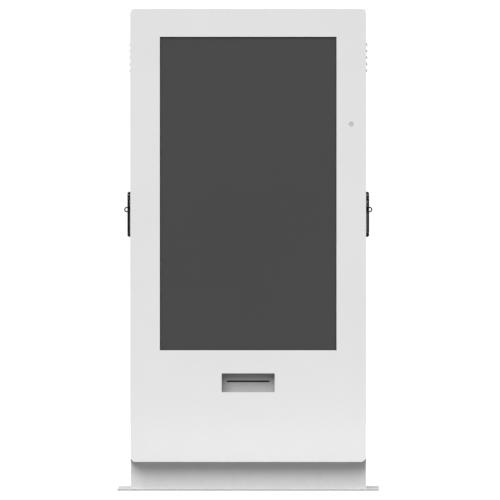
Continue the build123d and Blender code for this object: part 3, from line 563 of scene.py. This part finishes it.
# Folded strips behind the hinge-side gap of each door, between the hinge brackets
frame_low, frame_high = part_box("door_frames")
bracket_low, bracket_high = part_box("hinge_brackets")
skin_low, skin_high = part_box("right_door_skin")
strip_x = frame_high[0] - 0.022
BRACKET_HALF = 0.0085
hinge_middle = (bracket_low[2] + bracket_high[2]) / 2
hinge_ends = (bracket_low[2] + 0.008, hinge_middle, bracket_high[2] - 0.008)
strip_starts = [frame_low[2] + 0.002] + [z + BRACKET_HALF for z in hinge_ends]
strip_stops = [z - BRACKET_HALF for z in hinge_ends] + [frame_high[2] - 0.002]
for side, sign in (("right_", 1), ("left_", -1)):
    build = bmesh.new()
    for start, stop in zip(strip_starts, strip_stops):
        near, far = sorted((sign * (strip_x - 0.0015), sign * strip_x))
        block(build, (near, skin_high[1] - 0.025, start), (far, skin_high[1] + 0.003, stop), 0.0004)
    add_piece(side + "gap_strip", build, WHITE, "cabinet")

# Weld bead round the foot of the plinth
plinth_low, plinth_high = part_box("plinth")
bead = 0.0022
build = bmesh.new()
foot = plinth_low[2]
corners = [
    Vector((plinth_low[0], plinth_low[1], foot)),
    Vector((plinth_high[0], plinth_low[1], foot)),
    Vector((plinth_high[0], plinth_high[1], foot)),
    Vector((plinth_low[0], plinth_high[1], foot)),
]
path = []
for first, second in zip(corners, corners[1:] + corners[:1]):
    steps = int((second - first).length / 0.004)
    path += [first + (second - first) * k / steps for k in range(steps)]
rows = []
for number, point in enumerate(path):
    before, after = path[number - 1], path[(number + 1) % len(path)]
    run = (after - before).normalized()
    outward = Vector((run.y, -run.x, 0))
    swell = bead * (1.0 + 0.12 * math.sin(number * 2.1) + 0.06 * math.sin(number * 0.37))
    rows.append([
        build.verts.new(point + outward * swell * o + Vector((0, 0, swell * h)))
        for o, h in ((-0.2, -0.02), (1.0, -0.02), (0.92, 0.35), (0.45, 0.78), (0.0, 1.0), (-0.2, 1.0))
    ])
for number, row in enumerate(rows):
    following = rows[(number + 1) % len(rows)]
    for k in range(len(row)):
        after = (k + 1) % len(row)
        build.faces.new((row[k], row[after], following[after], following[k]))
add_piece("plinth_weld", build, PLATE_WELD, "cabinet")

# ---------------------------------------------------------------- floor, light and camera

floor_mesh = bpy.data.meshes.new("floor")
build = bmesh.new()
bmesh.ops.create_grid(build, x_segments=2, y_segments=2, size=9.0)
build.to_mesh(floor_mesh)
build.free()
floor = bpy.data.objects.new("floor", floor_mesh)
floor.location = (0, 0, -0.0006)
scene.collection.objects.link(floor)
FLOOR = Shader("studio_floor")
FLOOR.set(roughness=0.85, specular=0.2)
FLOOR.colour(FLOOR.mix(FLOOR.noise(1.5), (0.93, 0.93, 0.93), (0.95, 0.95, 0.95)))
FLOOR.bsdf.inputs["Emission Color"].default_value = (1.0, 1.0, 1.0, 1.0)
FLOOR.bsdf.inputs["Emission Strength"].default_value = 0.35
floor.visible_diffuse = False
floor.visible_glossy = False
NODES["base_plate"].visible_diffuse = False  # keeps its bounce off the shaded plinth
floor_mesh.materials.append(FLOOR.material)

BACKDROP = 1.05
GROUND_LIGHT = 0.28
SKY_LIGHT = 0.75
world = bpy.data.worlds.new("studio")
scene.world = world
world.use_nodes = True
sky = world.node_tree
lit = sky.nodes["Background"]
backdrop = sky.nodes.new("ShaderNodeBackground")
backdrop.inputs["Color"].default_value = (1.0, 1.0, 1.0, 1.0)
backdrop.inputs["Strength"].default_value = BACKDROP
direction = sky.nodes.new("ShaderNodeTexCoord")
split = sky.nodes.new("ShaderNodeSeparateXYZ")
rise_ramp = sky.nodes.new("ShaderNodeValToRGB")
to_unit = sky.nodes.new("ShaderNodeMapRange")
to_unit.inputs["From Min"].default_value = -1.0
to_unit.inputs["From Max"].default_value = 1.0
seen = sky.nodes.new("ShaderNodeLightPath")
either = sky.nodes.new("ShaderNodeMixShader")
sky.links.new(direction.outputs["Generated"], split.inputs["Vector"])
sky.links.new(split.outputs["Z"], to_unit.inputs["Value"])
sky.links.new(to_unit.outputs["Result"], rise_ramp.inputs["Fac"])
ramp = rise_ramp.color_ramp
ramp.elements[0].position = 0.0
ramp.elements[0].color = (GROUND_LIGHT,) * 3 + (1.0,)
ramp.elements[1].position = 0.48
ramp.elements[1].color = (GROUND_LIGHT,) * 3 + (1.0,)
upper = ramp.elements.new(0.80)
upper.color = (SKY_LIGHT,) * 3 + (1.0,)
sky.links.new(rise_ramp.outputs["Color"], lit.inputs["Color"])
sky.links.new(seen.outputs["Is Camera Ray"], either.inputs["Fac"])
sky.links.new(lit.outputs["Background"], either.inputs[1])
sky.links.new(backdrop.outputs["Background"], either.inputs[2])
sky.links.new(either.outputs["Shader"], sky.nodes["World Output"].inputs["Surface"])


def softbox(name, place, aim, size, power):
    light = bpy.data.lights.new(name, "AREA")
    light.shape = "RECTANGLE"
    light.size, light.size_y = size
    light.energy = power
    lamp = bpy.data.objects.new(name, light)
    lamp.location = place
    lamp.rotation_euler = (Vector(aim) - Vector(place)).to_track_quat("-Z", "Y").to_euler()
    lamp.visible_camera = False
    scene.collection.objects.link(lamp)
    return lamp


key = bpy.data.lights.new("key", "SUN")
key.energy = 2.42
key.angle = math.radians(50)
key_lamp = bpy.data.objects.new("key", key)
key_from = Vector((-0.25, -1.0, 0.85))
key_lamp.rotation_euler = (-key_from).to_track_quat("-Z", "Y").to_euler()
scene.collection.objects.link(key_lamp)
softbox("floor_bounce", (0, -0.30, 0.07), (0, -0.285, 1.0), (1.2, 0.05), 0.3)

camera_data = bpy.data.cameras.new("camera")
camera = bpy.data.objects.new("camera", camera_data)
scene.collection.objects.link(camera)
scene.camera = camera
camera_data.sensor_width = 36.0
camera_data.lens = 1200.0
camera_data.clip_start = 1.0
camera_data.clip_end = 300.0
frame_width = 1.930
distance = frame_width * camera_data.lens / camera_data.sensor_width
turn, rise = math.radians(0.3), math.radians(1.0)
aim = Vector((0.007, -0.15, 0.9263))
away = Vector((math.sin(turn) * math.cos(rise), -math.cos(turn) * math.cos(rise), math.sin(rise)))
camera.location = aim + away * distance
camera.rotation_euler = (-away).to_track_quat("-Z", "Y").to_euler()

scene.view_settings.view_transform = "Standard"
scene.view_settings.look = "None"
